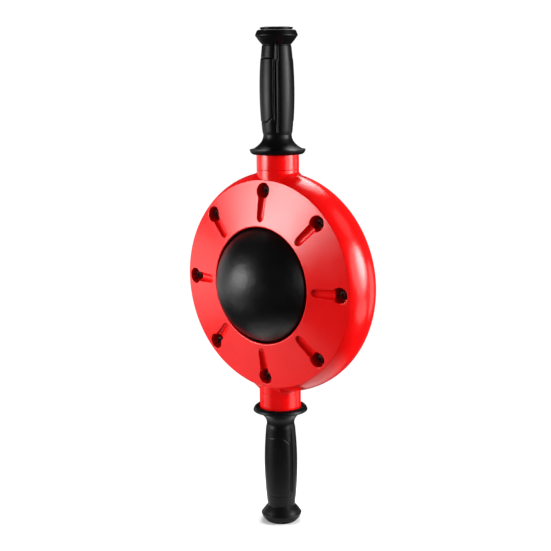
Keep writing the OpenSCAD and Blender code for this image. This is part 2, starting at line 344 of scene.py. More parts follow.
def moulded(
    name,
    dark,
    light,
    rough,
    patch_scale=25,
    grain_scale=1500,
    grain_depth=0.00004,
    wave_scale=90,
    wave_depth=0.0,
    specular=0.5,
    metallic=0.0,
    dust=None,
):
    """A moulded or machined surface: patches of colour and roughness, a fine grain and a slow wave.

    Scales are per metre and depths in metres. Dust is (colour, scale, threshold, amount).
    """
    material, nodes, links, shader = new_material(name)
    coords = nodes.new("ShaderNodeTexCoord")
    patches = add_noise(nodes, links, coords, patch_scale, 4)
    blend = add_range(nodes, links, patches, NOISE_LOW, NOISE_HIGH, 0, 1)
    colour = add_mix(nodes, links, blend, dark, light)
    if dust:
        dust_colour, dust_scale, dust_from, dust_amount = dust
        specks = add_noise(nodes, links, coords, dust_scale, 8)
        factor = add_range(nodes, links, specks, dust_from, dust_from + DUST_BLUR, 0, dust_amount)
        colour = add_mix(nodes, links, factor, colour, dust_colour)
    links.new(colour, shader.inputs["Base Color"])
    smears = add_noise(nodes, links, coords, patch_scale * 3, 6)
    roughness = add_range(nodes, links, smears, NOISE_LOW, NOISE_HIGH, *rough)
    links.new(roughness, shader.inputs["Roughness"])
    shader.inputs["Specular IOR Level"].default_value = specular
    shader.inputs["Metallic"].default_value = metallic
    normal = None
    for scale, depth in ((wave_scale, wave_depth), (grain_scale, grain_depth)):
        if not depth:
            continue
        surface = nodes.new("ShaderNodeBump")
        surface.inputs["Distance"].default_value = depth
        surface.inputs["Strength"].default_value = 1.0
        links.new(add_noise(nodes, links, coords, scale), surface.inputs["Height"])
        if normal:
            links.new(normal, surface.inputs["Normal"])
        normal = surface.outputs["Normal"]
    if normal:
        links.new(normal, shader.inputs["Normal"])
    return material


RED = moulded(
    "red_gloss_plastic",
    (0.74, 0.0022, 0.0024),
    (0.80, 0.0030, 0.0032),
    (0.18, 0.23),
    grain_scale=1100,
    grain_depth=0.00001,
    wave_scale=55,
    wave_depth=0.00002,
    specular=0.3,
)
BALL_RUBBER = moulded(
    "ball_rubber",
    (0.0010, 0.0010, 0.0012),
    (0.0016, 0.0016, 0.0019),
    (0.33, 0.42),
    patch_scale=18,
    wave_scale=120,
    wave_depth=0.00030,
    grain_scale=2200,
    grain_depth=0.00002,
    dust=((0.012, 0.012, 0.013), 45, 0.64, 0.3),
    specular=0.26,
)
GRIP_RUBBER = moulded(
    "grip_rubber",
    (0.0018, 0.0018, 0.0020),
    (0.0030, 0.0030, 0.0034),
    (0.32, 0.39),
    patch_scale=30,
    grain_scale=2600,
    grain_depth=0.00004,
    specular=0.11,
)
PLUG = moulded(
    "plug_plastic",
    (0.004, 0.004, 0.004),
    (0.007, 0.007, 0.007),
    (0.45, 0.6),
    specular=0.3,
)
# Blackened steel tinted red: the red is a painted reflection of the red well round each head, the
# near-black is the steel's own.
BOLT_PAINTED_RED_REFLECTION = moulded(
    "bolt_black_steel_painted_red_reflection",
    (0.014, 0.0020, 0.0018),
    (0.030, 0.0032, 0.0028),
    (0.35, 0.5),
    specular=0.05,
    patch_scale=220,
)
ZINC = moulded(
    "zinc_steel",
    (0.42, 0.42, 0.43),
    (0.55, 0.55, 0.56),
    (0.25, 0.4),
    metallic=1.0,
    patch_scale=180,
)
DARK_STEEL = moulded(
    "blackened_steel",
    (0.020, 0.019, 0.019),
    (0.045, 0.043, 0.042),
    (0.45, 0.6),
    metallic=0.9,
    patch_scale=180,
)
TUBE_STEEL = moulded(
    "tube_steel",
    (0.5, 0.5, 0.51),
    (0.62, 0.62, 0.63),
    (0.22, 0.34),
    metallic=1.0,
)
BEARING_STEEL = moulded(
    "bearing_steel",
    (0.7, 0.7, 0.71),
    (0.78, 0.78, 0.79),
    (0.06, 0.12),
    metallic=1.0,
    grain_depth=0.0,
)
ACETAL = moulded("acetal", (0.74, 0.73, 0.69), (0.82, 0.81, 0.77), (0.35, 0.45))
HARD_PLASTIC = moulded("hard_plastic", (0.04, 0.04, 0.042), (0.06, 0.06, 0.063), (0.4, 0.5))
FILLING = moulded(
    "ball_filling",
    (0.02, 0.02, 0.02),
    (0.04, 0.04, 0.04),
    (0.6, 0.8),
    grain_depth=0.0001,
)


# ---------------------------------------------------------------- housing shells


def shell_outline():
    """The wall as (radius, height): parting line, band, face, lip, bearing seat and back."""
    crease_angle = math.degrees(math.asin(CREASE_H / BAND_R))
    band = arc(BAND_CENTRE, 0, BAND_R, PARTING_DEG, crease_angle, 14)
    guard_from = math.degrees(math.acos((LIP_H - LIP_THICK) / GUARD_R))
    guard_to = math.degrees(math.acos(RING_TOP / GUARD_R))
    guard = [(r, h) for h, r in arc(0, 0, GUARD_R, guard_from, guard_to, 5)]
    inner_angle = math.degrees(math.asin((CREASE_H - WALL) / (BAND_R - WALL)))
    back = arc(BAND_CENTRE, 0, BAND_R - WALL, inner_angle, 0, 8)
    seat_back = SEAT_R + SEAT_WALL
    points = [(HOUSING_R - PARTING_CHAMFER, 0)] + band
    crease_index = len(points) - 1
    points.append((OPENING_R, LIP_H))
    lip_index = len(points) - 1
    points += guard
    points += [(SEAT_R, RING_TOP), (SEAT_R, 0)]
    points += [(seat_back, 0), (seat_back, face_h(seat_back) - WALL)]
    points += back
    return rounded(points, {crease_index: CREASE_ROUND, lip_index: LIP_ROUND}, 6)


def turn_round_disc(bm, angle):
    """Turns everything in bm round the disc axis."""
    spin = Matrix.Rotation(angle, 3, "Z")
    bmesh.ops.rotate(bm, verts=bm.verts, cent=(0, 0, 0), matrix=spin)


def around_disc(make, offset=0.0):
    """One mesh of copies of what make() draws on the +X side, one at each bolt angle."""
    whole = bmesh.new()
    for i in range(BOLTS):
        bm = bmesh.new()
        make(bm)
        tidy_mesh(bm)
        turn_round_disc(bm, 2 * math.pi * (i + offset) / BOLTS)
        absorb(whole, bm)
    return whole


def post(bm, rows):
    """A solid turned about a bolt's axis. A row is (radius, height), or (radius, depth, "face")."""
    segments = 64
    loops = []
    for row in rows:
        loop = []
        for i in range(segments):
            a = 2 * math.pi * i / segments
            x = BOLT_CIRCLE + row[0] * math.cos(a)
            y = row[0] * math.sin(a)
            h = row[1] if len(row) == 2 else face_h(math.hypot(x, y)) - row[1]
            loop.append((x, y, h))
        loops.append(loop)
    verts = add_grid(bm, loops, closed_rows=False)
    cap(bm, verts[0])
    cap(bm, verts[-1])


def well_post(bm):
    """The bolt boss with the well's wall on top of it, up to just under the face."""
    wall_r = WELL_R + WELL_WALL
    root = WELL_FLOOR - WELL_BOTTOM
    post(bm, [(BOSS_R, 0.0), (BOSS_R, root), (wall_r, root), (wall_r, WELL_WALL_DEPTH, "face")])


def edge_rows(radius):
    """A rounded edge as (radius, depth) rows, from the wall up and out to just above the face."""
    rows = []
    for i in range(6):
        a = math.radians(80 * i / 5)
        rows.append((radius + EDGE_ROUND * (1 - math.cos(a)), EDGE_ROUND * (1 - math.sin(a))))
    end = rows[-1]
    rows.append((end[0] + 0.35, end[1] - 0.06))
    return rows


def well_cut(bm):
    """A screw well with its bolt hole, a small round at the floor and a rounded mouth."""
    rows = [(BOLT_HOLE_R, -1.0), (BOLT_HOLE_R, WELL_FLOOR)]
    rows += [(WELL_R - 0.5, WELL_FLOOR), (WELL_R, WELL_FLOOR + 0.5)]
    rows += [(r, d, "face") for r, d in edge_rows(WELL_R)]
    rows.append((rows[-1][0], -PAST_FACE, "face"))
    post(bm, rows)


def stadium(half_width, end_x, start_x):
    """Half a stadium's outline: in along one side, round the inner end, and out along the other."""
    steps = 20
    straight = [end_x + (start_x - end_x) * i / 4 for i in range(4)]
    out = [(x, half_width) for x in straight]
    for i in range(steps + 1):
        a = math.radians(90 + 180 * i / steps)
        out.append((start_x + half_width * math.cos(a), half_width * math.sin(a)))
    out += [(x, -half_width) for x in reversed(straight)]
    return out


def swept_slot(bm, section, start_x, end_x, narrowing=0.0, rise=0.0):
    """Sweeps a (half width, depth) section along a slot. The first point lies on the centre line.

    Towards the inner end the slot may get narrower and its bottom may rise.
    """
    rows = []
    for half_width, depth in section:
        row = []
        for x, y in stadium(half_width, end_x, start_x):
            inward = min((BOLT_CIRCLE - x) / (BOLT_CIRCLE - SLOT_INNER), 1.0)
            deep = max(depth - EDGE_ROUND, 0) * rise * inward
            y *= 1 - narrowing * inward
            row.append((x, y, face_h(math.hypot(x, y)) - depth + deep))
        rows.append(row)
    verts = add_grid(bm, rows, closed_rows=False, closed_columns=False)
    cap(bm, verts[-1])
    bm.faces.new([row[0] for row in verts] + [row[-1] for row in reversed(verts)])


def slot_cut(bm):
    """A slot: round bottom and inner end, straight sides and rounded edges."""
    section = []
    for i in range(10):
        a = math.radians(90 - 10 * i)
        section.append((SLOT_R * math.cos(a), SLOT_DEPTH - SLOT_R + SLOT_R * math.sin(a)))
    section += edge_rows(SLOT_R)
    section.append((section[-1][0], -PAST_FACE))
    swept_slot(bm, section, SLOT_START, BOLT_CIRCLE, SLOT_NARROWING, SLOT_RISE)


def slot_keel(bm):
    """The wall that backs a slot inside the shell."""
    backing = SLOT_R + SLOT_BACKING
    section = []
    for i in range(9):
        a = math.radians(90 - 10 * i)
        section.append((backing * math.cos(a), SLOT_DEPTH - SLOT_R + backing * math.sin(a)))
    section.append((section[-1][0], SLOT_BACKING_DEPTH))
    swept_slot(bm, section, SEAT_R + backing + 0.2, BOLT_CIRCLE - 3)


def rib(bm):
    """A flat stiffening rib between the bearing seat and the band."""
    start = SEAT_R + 1
    high = face_h(RIB_END) - RIB_DROP
    middle = ((start + RIB_END) / 2, 0, (RIB_LOW + high) / 2)
    size = (RIB_END - start, RIB_THICK, high - RIB_LOW)
    bmesh.ops.create_cube(bm, size=1, matrix=Matrix.LocRotScale(middle, None, size))


def band_z(x, h):
    """How far the band's outer surface is from the centre along the handles, at x and height h."""
    r = BAND_CENTRE + math.sqrt(max(BAND_R**2 - h * h, 0))
    return math.sqrt(r * r - x * x)


def neck_rows(angle):
    """A neck's profile at an angle from X, as (radius, distance along the handle).

    The root flares out in a cone until it meets the band. Towards the front the cone starts lower,
    because it has to stay behind the crease.
    """
    c, s = abs(math.cos(angle)), abs(math.sin(angle))
    limit = (CREASE_H - 0.05) / max(s, 1e-6)
    foot_r = min(limit, FLARE_FOOT_R)
    top = min(FLARE_TOP, band_z(foot_r * c, foot_r * s) - 0.1 + (foot_r - NECK_R) * FLARE_SLOPE)
    if limit > FLARE_FOOT_R:
        top = FLARE_TOP
    foot_z = top - (foot_r - NECK_R) * FLARE_SLOPE
    turn = min(0.5, (foot_r - NECK_R) * 0.5)
    rows = [(0, CRADLE_IN), (CRADLE_R, CRADLE_IN), (CRADLE_R, CRADLE_OUT)]
    rows += [(foot_r, foot_z - FLARE_BURIED), (foot_r, foot_z)]
    start = (NECK_R + turn, top - turn * FLARE_SLOPE)
    end = (NECK_R, top + turn * 1.3)
    rows += bend(start, (NECK_R, top), end, 5)
    rows += arc(NECK_R - 0.5, NECK_END - 0.5, 0.5, 0, 90, 4)
    rows.append((0, NECK_END))
    return rows


def necks():
    """Both half necks of one shell, each with its flared root and its tube cradle."""
    bm = bmesh.new()
    steps = 72
    for side in (1, -1):
        columns = []
        for i in range(steps + 1):
            a = math.pi * i / steps
            columns.append([(r * math.cos(a), side * z, r * math.sin(a)) for r, z in neck_rows(a)])
        verts = add_grid(bm, columns, closed_rows=False, closed_columns=False)
        bm.faces.new(verts[0] + list(reversed(verts[-1])))
    tidy_mesh(bm)
    return bm


def tongue():
    """The two arcs that centre the front shell in the rear one."""
    bm = bmesh.new()
    out_r = HOUSING_R - WALL - 0.1
    section = [(out_r - 2, -2.5), (out_r, -2.5), (out_r, 0.3)]
    section += [(out_r + TONGUE_LEAN, 0.6), (out_r + TONGUE_LEAN, 3), (out_r - 2, 4)]
    steps = 96
    for side in (0, 180):
        rows = []
        for i in range(steps + 1):
            a = math.radians(side + TONGUE_ARC * (i / steps - 0.5))
            rows.append([(r * math.cos(a), r * math.sin(a), h) for r, h in section])
        verts = add_grid(bm, rows, closed_rows=False)
        cap(bm, verts[0])
        cap(bm, verts[-1])
    tidy_mesh(bm)
    return bm


def tube_bores():
    """The two cylinders that the handle tubes need inside the necks."""
    bm = bmesh.new()
    segments = 64
    for side in (1, -1):
        rows = []
        for z in (CRADLE_IN - 1, NECK_END + 2):
            row = []
            for i in range(segments):
                a = 2 * math.pi * i / segments
                row.append((BORE_R * math.cos(a), side * z, BORE_R * math.sin(a)))
            rows.append(row)
        verts = add_grid(bm, rows, closed_rows=False)
        cap(bm, verts[0])
        cap(bm, verts[1])
    tidy_mesh(bm)
    return bm


def make_shell(name, with_tongue):
    """One shell: the turned wall and what stands on it, cut by slots, wells and bores."""
    bm = bmesh.new()
    revolve(bm, shell_outline(), 384)
    tidy_mesh(bm)
    shell = to_object(name, bm)
    posts = around_disc(well_post)
    absorb(posts, around_disc(rib, 0.5))
    boolean(shell, to_object("posts", posts), "UNION")
    boolean(shell, to_object("keels", around_disc(slot_keel)), "UNION")
    boolean(shell, to_object("necks", necks()), "UNION")
    if with_tongue:
        boolean(shell, to_object("tongue", tongue()), "UNION")
    boolean(shell, to_object("slots", around_disc(slot_cut)), "DIFFERENCE")
    boolean(shell, to_object("wells", around_disc(well_cut)), "DIFFERENCE")
    boolean(shell, to_object("bores", tube_bores()), "DIFFERENCE")
    return shell


def place_shell(shell, front):
    """Turns the height axis to -Y for the front or +Y for the rear, and makes metres of mm."""
    side = -1 if front else 1
    shell.data.transform(Matrix(((MM, 0, 0, 0), (0, 0, side * MM, 0), (0, MM, 0, 0), (0, 0, 0, 1))))
    if not front:
        shell.data.flip_normals()
    return shell


def build_shells():
    front = place_shell(make_shell("front_shell_moulding", True), True)
    finish_piece(front, RED, "housing", "front_shell")
    rear = place_shell(make_shell("rear_shell_moulding", False), False)
    finish_piece(rear, RED, "housing", "rear_shell")


# ---------------------------------------------------------------- ball

MOULD_LINE_H = 0.12
MOULD_LINE_DEG = 0.22


def build_ball():
    """The ball's rubber skin, with the raised line that its mould leaves round the middle."""
    bm = bmesh.new()
    skin_r = BALL_R - BALL_TRIM
    near = [0.0, 0.12, 0.24, 0.4, 0.7, 1.1]
    steps = 60
    away = [90 - 90 * math.sin(math.radians(90 * i / steps)) for i in range(1, steps)]
    upper = near + sorted(lat for lat in away if lat > 1.3)
    rows = []
    columns = 192
    for lat in [-lat for lat in reversed(upper[1:])] + upper:
        r = skin_r + MOULD_LINE_H * math.exp(-((lat / MOULD_LINE_DEG) ** 2))
        c, s = r * math.cos(math.radians(lat)), r * math.sin(math.radians(lat))
        rows.append([
            (c * math.cos(2 * math.pi * j / columns), s, c * math.sin(2 * math.pi * j / columns))
            for j in range(columns)
        ])
    verts = add_grid(bm, rows, closed_rows=False)
    for loop, pole_y in ((verts[0], -skin_r), (verts[-1], skin_r)):
        pole = bm.verts.new((0, pole_y, 0))
        for j in range(columns):
            bm.faces.new((loop[j], loop[(j + 1) % columns], pole))
    tidy_mesh(bm)
    bmesh.ops.scale(bm, verts=bm.verts, vec=(MM, MM, MM))
    ball = to_object("ball_rubber_skin", bm)
    finish_piece(ball, BALL_RUBBER, "ball_outer", "ball_skin", 60)


# ---------------------------------------------------------------- handles

# radii, and distances from the centre along the handle
PALM_R = 17.2
PALM_MID = 194.0
PALM_CURVE = 405.0
THROAT_R = 14.4
FLARE_END = 150.0
FLANGE_TOP = 136.0
RIM_LOW = FLANGE_TOP - 5
CAP_ROOT = 239.5
CAP_START = 240.0
CAP_R = 21.25
CAP_BEAD = 248.7
CAP_SWELL = 0.45
CAP_END_R = 16.7
DISH_R = NECK_R + 1.7
PLUG_SEAT_R = 12.0
RELIEF_START = 150.2
RELIEF_END = 243.0
PANEL_FROM_DEG = -100
PANEL_TO_DEG = -7.5
PANEL_LOW = 163.5
PANEL_HIGH = 226.4
PANEL_SLANT = 5.5
PANEL_CORNER = 2.5
PANEL_RAISED = 0.35
PANEL_GROOVE = 0.45
UPPER_SPINE_DEG = 35
LOWER_SPINE_DEG = 83
LOWER_RELIEF = 0.55


def palm_r(z):
    """Radius of the palm swell at a distance z along the handle."""
    return PALM_R - PALM_CURVE + math.sqrt(PALM_CURVE**2 - (z - PALM_MID) ** 2)


def grip_outline():
    """The grip in section: the collar's dish, the flange, the palm, the end cap and the bore."""
    points = [(TUBE_R, FLANGE_SEAT), (DISH_R - 0.4, FLANGE_SEAT), (DISH_R, FLANGE_SEAT - 0.4)]
    dish_start, dish_end = (DISH_R, RIM_LOW + 1.2), (DISH_R + 1.6, RIM_LOW + 0.1)
    points += bend(dish_start, (DISH_R + 0.1, RIM_LOW), dish_end, 7)
    rim_start, rim_end = (DISH_R + 2.2, RIM_LOW + 0.3), (FLANGE_R, RIM_LOW + 4.2)
    points += bend(rim_start, (FLANGE_R - 0.8, RIM_LOW + 1.4), rim_end, 9)
    points += arc(FLANGE_R - 0.5, FLANGE_TOP - 0.4, 0.5, 0, 85, 4)
    flare_start = (FLANGE_R - 2.5, FLANGE_TOP + 0.1)
    points += bend(flare_start, (THROAT_R + 0.2, FLANGE_TOP + 6), (THROAT_R, FLARE_END), 26)
    points += [(THROAT_R + 0.05, 150.4)]
    stations = list(np.arange(151.0, 161.0, 0.7)) + list(np.arange(161.0, 172.0, 0.4))
    stations += list(np.arange(172.0, 221.0, 1.6)) + list(np.arange(221.0, 229.0, 0.4))
    stations += list(np.arange(229.0, 238.0, 1.2)) + [238.2, 238.6]
    for z in stations:
        blend = min((z - FLARE_END) / 4.0, 1.0)
        points.append((THROAT_R * (1 - blend) + palm_r(z) * blend, float(z)))
    root = palm_r(CAP_ROOT)
    points += [(root - 0.35, CAP_ROOT - 0.5), (root - 0.4, CAP_ROOT)]
    points += [(root, CAP_START), (root + 0.8, CAP_START + 0.7)]
    for z in (241.5, 242.5, 243.5, 244.5, 245.5, 246.5, 247.3):
        part = (z - CAP_START) / (CAP_BEAD - CAP_START)
        swell = CAP_SWELL * math.sin(math.pi * part)
        points.append((root + (CAP_R - root) * part + swell, z))
    points += arc(CAP_R - 1.8, CAP_BEAD, 1.8, -35, 25, 8)
    points += bend((CAP_R - 1.0, 251.6), (CAP_R - 1.5, 253.6), (CAP_R - 3.2, 254.1), 5)
    points += [(CAP_END_R - 0.6, 254.2), (CAP_END_R - 1.0, 254.4), (CAP_END_R - 1.0, 254.8)]
    points += [(CAP_END_R - 0.5, 255.1), (CAP_END_R - 0.1, 255.3)]
    points += arc(CAP_END_R - 0.6, 255.9, 0.6, 0, 75, 5)
    points += [(14.5, 256.75), (12.8, GRIP_END), (12.3, 256.8), (PLUG_SEAT_R, 256.2)]
    points += [(PLUG_SEAT_R, TUBE_END), (TUBE_R, TUBE_END)]
    return points


def bump(value, middle, width):
    """A soft hump, 1 at the middle."""
    return np.exp(-(((value - middle) / width) ** 2))


def step(value, low, high):
    """A soft step from 0 at low to 1 at high."""
    t = np.clip((value - low) / (high - low), 0, 1)
    return t * t * (3 - 2 * t)


def grip_relief(theta, z):
    """Height of the moulded relief at an angle from the spine and a distance along the handle.

    In order: a broad hollow along the spine, one ridge near the cap, two ridges along the palm, the
    groove between them, the groove beside them, the raised panel in its own groove, and a fine line
    at the foot.
    """
    spine = step(z, 151.5, 156) * (1 - step(z, 240.5, 243))
    relief = -0.95 * bump(theta, 0, 9.5) * spine
    upper = step(z, 221.5, 226)
    lower = (1 - upper) * step(z, 152, 156)
    relief = relief + 0.95 * bump(theta, 0, 2.6) * upper * spine
    relief = relief + 0.95 * bump(theta, 4.6, 2.2) * lower
    relief = relief + 0.75 * bump(theta, -4.8, 1.9) * lower * step(z, 163, 167)
    relief = relief - 0.7 * bump(theta, 0, 2.0) * lower * step(z, 159, 163)
    relief = relief - 0.55 * bump(theta, 9.6, 2.4) * spine
    mm_per_degree = math.radians(1) * PALM_R
    across = theta * mm_per_degree
    left, right = PANEL_FROM_DEG * mm_per_degree, PANEL_TO_DEG * mm_per_degree
    low, high = PANEL_LOW + PANEL_SLANT * step(across, right - 9, right), PANEL_HIGH
    over_x = np.abs(across - (right + left) / 2) - (right - left) / 2 + PANEL_CORNER
    over_z = np.abs(z - (high + low) / 2) - (high - low) / 2 + PANEL_CORNER
    outside = np.hypot(np.maximum(over_x, 0), np.maximum(over_z, 0))
    inside = np.minimum(np.maximum(over_x, over_z), 0)
    distance = outside + inside - PANEL_CORNER
    relief = relief + PANEL_RAISED * (1 - step(distance, -1.2, 0))
    relief = relief - PANEL_GROOVE * bump(distance, 0.25, 0.5)
    return relief - 0.3 * bump(z, 150.7, 0.5) * (1 - bump(theta, 0, 12))


def grip_angles():
    """Angles round the grip from one spine to the next, in degrees, closer near the spine."""
    fine = list(np.arange(-13.0, 13.01, 0.75))
    panel_edge = list(np.arange(74.0, 86.0, 1.0))
    coarse = list(np.arange(15.5, 73.0, 2.5)) + panel_edge + list(np.arange(87.0, 167.0, 2.5))
    return np.array(fine + coarse)


def build_grip(name, node, up, spine_deg, depth):
    """One rubber grip. Its relief repeats on both sides, and spine_deg is where one spine faces.

    The relief is depth times as high as drawn.
    """
    outline = grip_outline()
    half = grip_angles()
    theta = np.concatenate([half, half + 180])
    local = np.concatenate([half, half])
    seen_as = np.where(local > 90, local - 180, local)
    bm = bmesh.new()
    rows = []
    for angle, relative in zip(theta, seen_as):
        direction = math.radians(spine_deg + angle)
        column = []
        for r, z in outline:
            if RELIEF_START < z < RELIEF_END and r > THROAT_R - 0.5:
                r += depth * float(grip_relief(relative, z))
            x, y = r * math.sin(direction), -r * math.cos(direction)
            column.append((MM * x, MM * y, up * MM * z))
        rows.append(column)
    add_grid(bm, rows)
    tidy_mesh(bm, 1e-7)
    grip = to_object(name, bm)
    finish_piece(grip, GRIP_RUBBER, "housing", node, 50)


def revolved_piece(name, outline, up, material, node, segments=128):
    """A piece turned about the handle axis, standing up or hanging down."""
    bm = bmesh.new()
    revolve(bm, outline, segments, "handle")
    stand = Matrix(((MM, 0, 0, 0), (0, 0, MM, 0), (0, up * MM, 0, 0), (0, 0, 0, 1)))
    bmesh.ops.transform(bm, verts=bm.verts, matrix=stand)
    tidy_mesh(bm, 1e-7)
    piece = to_object(name, bm)
    finish_piece(piece, material, "housing", node)


def collar_outline():
    """A collar in section, with a rounded edge at both ends."""
    points = [(BORE_R, NECK_END)]
    points += arc(NECK_R - 0.5, NECK_END + 0.5, 0.5, -90, 0, 4)
    points += arc(NECK_R - 0.4, FLANGE_SEAT - 0.4, 0.4, 0, 90, 3)
    points.append((BORE_R, FLANGE_SEAT))
    return points


def plug_outline():
    """An end plug: ribbed shank, flat rim, a ring groove and a shallow dome."""
    shank = TUBE_R - 2.05
    points = [(0.0, TUBE_END - 14), (shank - 0.8, TUBE_END - 14), (shank, TUBE_END - 12.5)]
    for z in (-10.0, -7.0, -4.0):
        points += [(shank, TUBE_END + z), (shank - 0.5, TUBE_END + z + 0.3)]
        points += [(shank - 0.5, TUBE_END + z + 1.2), (shank, TUBE_END + z + 1.5)]
    points += [(shank, TUBE_END), (PLUG_SEAT_R - 0.1, TUBE_END)]
    points += arc(PLUG_SEAT_R - 0.8, TUBE_END + 3.6, 0.7, 0, 90, 4)
    points += [(10.2, TUBE_END + 4.3), (9.9, TUBE_END + 3.6)]
    points += [(9.2, TUBE_END + 3.6), (8.9, TUBE_END + 4.2)]
    points += [(6.0, TUBE_END + 4.45), (3.0, TUBE_END + 4.5), (0.0, TUBE_END + 4.5)]
    return points


def build_handles():
    build_grip("upper_grip_moulding", "upper_grip", 1, UPPER_SPINE_DEG, 1.0)
    build_grip("lower_grip_moulding", "lower_grip", -1, LOWER_SPINE_DEG, LOWER_RELIEF)
    for up, side in ((1, "upper"), (-1, "lower")):
        collar, plug = side + "_collar", side + "_end_plug"
        revolved_piece(side + "_collar_ring", collar_outline(), up, RED, collar)
        revolved_piece(side + "_plug", plug_outline(), up, PLUG, plug, 96)


# ---------------------------------------------------------------- fasteners


def at_bolt(i, height, front):
    """Where bolt i's own frame goes: its third axis points out of the front or the rear."""
    angle = 2 * math.pi * i / BOLTS
    centre = Vector((BOLT_CIRCLE * math.cos(angle), 0, BOLT_CIRCLE * math.sin(angle))) * MM
    side = -1 if front else 1
    centre.y = side * height * MM
    turn = Matrix(((1, 0, 0), (0, 0, side), (0, 1, 0)))
    return Matrix.Translation(centre) @ turn.to_4x4() @ Matrix.Scale(MM, 4)


def gather(name, make, places, material, node, sharp_deg=35):
    """One object of copies of what make() draws, one at each place."""
    whole = bmesh.new()
    for spin, place in places:
        bm = bmesh.new()
        make(bm)
        tidy_mesh(bm)
        bmesh.ops.transform(bm, verts=bm.verts, matrix=place @ Matrix.Rotation(spin, 4, "Z"))
        bmesh.ops.recalc_face_normals(bm, faces=bm.faces)
        absorb(whole, bm)
    piece = to_object(name, whole)
    finish_piece(piece, material, "housing", node, sharp_deg)


HEAD_R = 4.75
HEAD_H = 4.0
HEAD_CROWN = 0.055
CROSS_R = 2.3
CROSS_HALF = 0.35
CROSS_DEPTH = 1.9
CROSS_SLANT = 0.3
WASHER_R = 5.5
WASHER_H = 1.0
NUT_H = 4.0
NUT_HALF_FLATS = 4.0
NUT_FACE_R = 4.25
BOLT_PAST_NUT = 1.5
SEAT_H = WELL_FLOOR + WASHER_H


def bolt_shape(bm):
    """A plain shank and a pan head, whose rings dip where the cross recess is."""
    shank = -2 * SEAT_H - NUT_H - BOLT_PAST_NUT
    segments = 96
    side = [(BOLT_R - 0.6, shank), (BOLT_R, shank + 0.6), (BOLT_R, 0.0), (HEAD_R - 0.3, 0.0)]
    side += [(HEAD_R, 0.3), (HEAD_R, 1.7), (HEAD_R - 0.35, 2.6), (HEAD_R - 1.0, 3.3)]
    top = [3.3, 2.9, 2.6, 2.3, 2.0, 1.7, 1.4, 1.1, 0.8, 0.5, 0.25]
    rows = []
    for r, h in side:
        rows.append([(r, h)] * segments)
    for r in top:
        row = []
        for j in range(segments):
            a = 2 * math.pi * j / segments
            off = min(abs(r * math.sin(a)), abs(r * math.cos(a)))
            arm = 1 - min(max((off - CROSS_HALF) / CROSS_SLANT, 0), 1)
            reach = 1 - min(max((r - CROSS_R) / CROSS_SLANT, 0), 1)
            dome = HEAD_H - HEAD_CROWN * r * r
            row.append((r, dome - CROSS_DEPTH * arm * reach))
        rows.append(row)
    grid = []
    for row in rows:
        loop = []
        for j, (r, h) in enumerate(row):
            a = 2 * math.pi * j / segments
            loop.append((r * math.cos(a), r * math.sin(a), h))
        grid.append(loop)
    verts = add_grid(bm, grid, closed_rows=False)
    cap(bm, verts[0])
    cap(bm, verts[-1])


def washer_shape(bm):
    """A flat washer with broken edges."""
    outline = [(BOLT_HOLE_R, 0.05), (BOLT_HOLE_R + 0.1, 0), (WASHER_R - 0.1, 0), (WASHER_R, 0.1)]
    outline += [(WASHER_R, WASHER_H - 0.15), (WASHER_R - 0.15, WASHER_H)]
    outline += [(BOLT_HOLE_R + 0.15, WASHER_H), (BOLT_HOLE_R, WASHER_H - 0.15)]
    revolve(bm, outline, 64)


def nut_shape(bm):
    """A hexagon nut whose corners are turned off at both ends, with a chamfered bore."""
    bore, chamfer = BOLT_R + 0.05, 0.5
    low, high = chamfer, NUT_H - chamfer
    outside = [(math.inf, low), (math.inf, high), (NUT_FACE_R, NUT_H)]
    inside = [(bore + chamfer, NUT_H), (bore, high), (bore, low), (bore + chamfer, 0)]
    segments = 72
    rows = []
    for turned_r, h in outside + inside + [(NUT_FACE_R, 0)]:
        row = []
        for j in range(segments):
            a = 2 * math.pi * j / segments
            hexagon = NUT_HALF_FLATS / math.cos((a + math.pi / 6) % (math.pi / 3) - math.pi / 6)
            r = min(hexagon, turned_r)
            row.append((r * math.cos(a), r * math.sin(a), h))
        rows.append(row)
    add_grid(bm, rows)


def build_fasteners():
    """Bolts, nuts and washers. Tightening leaves each head and nut at an angle of its own."""
    spins = [0.35, 1.1, 0.8, 0.15, 1.4, 0.6, 0.95, 0.25]
    heads = [(spins[i], at_bolt(i, SEAT_H, True)) for i in range(BOLTS)]
    # the heads' red tint is a painted reflection of the wells
    gather("pan_head_bolts", bolt_shape, heads, BOLT_PAINTED_RED_REFLECTION, "housing_bolts")
    nuts = [(spins[i], at_bolt(i, SEAT_H, False)) for i in range(BOLTS)]
    gather("hexagon_nuts", nut_shape, nuts, ZINC, "housing_nuts", 25)
    washers = [(0, at_bolt(i, WELL_FLOOR, front)) for front in (True, False) for i in range(BOLTS)]
    gather("flat_washers", washer_shape, washers, DARK_STEEL, "housing_washers")


def dress_cad_nodes():
    """The inner pieces keep their CAD shape and get their own finish."""
    finishes = {
        "front_bearing_ring": ACETAL,
        "rear_bearing_ring": ACETAL,
        "front_support_balls": BEARING_STEEL,
        "rear_support_balls": BEARING_STEEL,
        "ball_core": FILLING,
        "ball_hard_shell_front": HARD_PLASTIC,
        "ball_hard_shell_rear": HARD_PLASTIC,
        "upper_handle_tube": TUBE_STEEL,
        "lower_handle_tube": TUBE_STEEL,
        "upper_tube_insert": HARD_PLASTIC,
        "lower_tube_insert": HARD_PLASTIC,
    }
    for node, material in finishes.items():
        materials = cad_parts[node].data.materials
        if materials:
            materials[0] = material
        else:
            materials.append(material)


# ---------------------------------------------------------------- camera, floor and light

